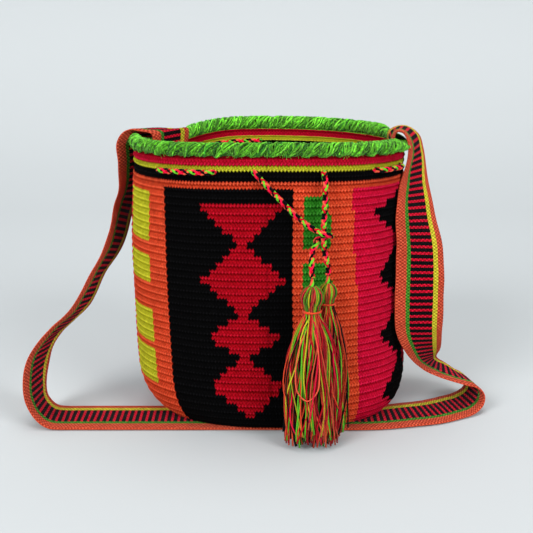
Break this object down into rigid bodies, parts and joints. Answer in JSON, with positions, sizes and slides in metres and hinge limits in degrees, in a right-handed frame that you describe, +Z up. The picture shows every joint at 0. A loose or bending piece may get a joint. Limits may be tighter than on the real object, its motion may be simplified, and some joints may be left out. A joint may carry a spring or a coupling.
{
  "type": "crochet bucket bag",
  "caption": "Crocheted cotton bucket bag with a woven shoulder strap, a braided drawstring through eyelets, and tassels hanging in front.",
  "frame": {"origin": "on the floor, in the middle of the flat base", "axes": "+Z up, -Y out of the front where the tassels hang, +X to the right as seen from the front"},
  "size_m": [0.4602, 0.2693, 0.2855],
  "materials": {
    "crochet_panels": "matt",
    "green_edging": "matt",
    "woven_strap": "matt",
    "sewing_yarn": "matt",
    "braided_cord": "matt",
    "mixed_yarn": "matt"
  },
  "bodies": {
    "bag": {"bag_body": "crochet_panels", "rim_edging": "green_edging", "strap": "woven_strap", "strap_seam_left": "sewing_yarn", "strap_seam_right": "sewing_yarn", "drawstring": "braided_cord"},
    "front_tassel": {"tassel_front_yarn": "mixed_yarn", "tassel_front_binding": "sewing_yarn"},
    "rear_tassel": {"tassel_rear_yarn": "mixed_yarn", "tassel_rear_binding": "sewing_yarn"}
  },
  "joints": [
    {"name": "front_tassel_swing", "type": "hinge", "parent": "bag", "child": "front_tassel", "pos_m": [0.0315, -0.1333, 0.1612], "axis": [-1, 0, 0], "range_deg": [0, 75]},
    {"name": "rear_tassel_swing", "type": "hinge", "parent": "bag", "child": "rear_tassel", "pos_m": [0.0465, -0.1185, 0.1602], "axis": [0, -1, 0], "range_deg": [0, 45]}
  ]
}
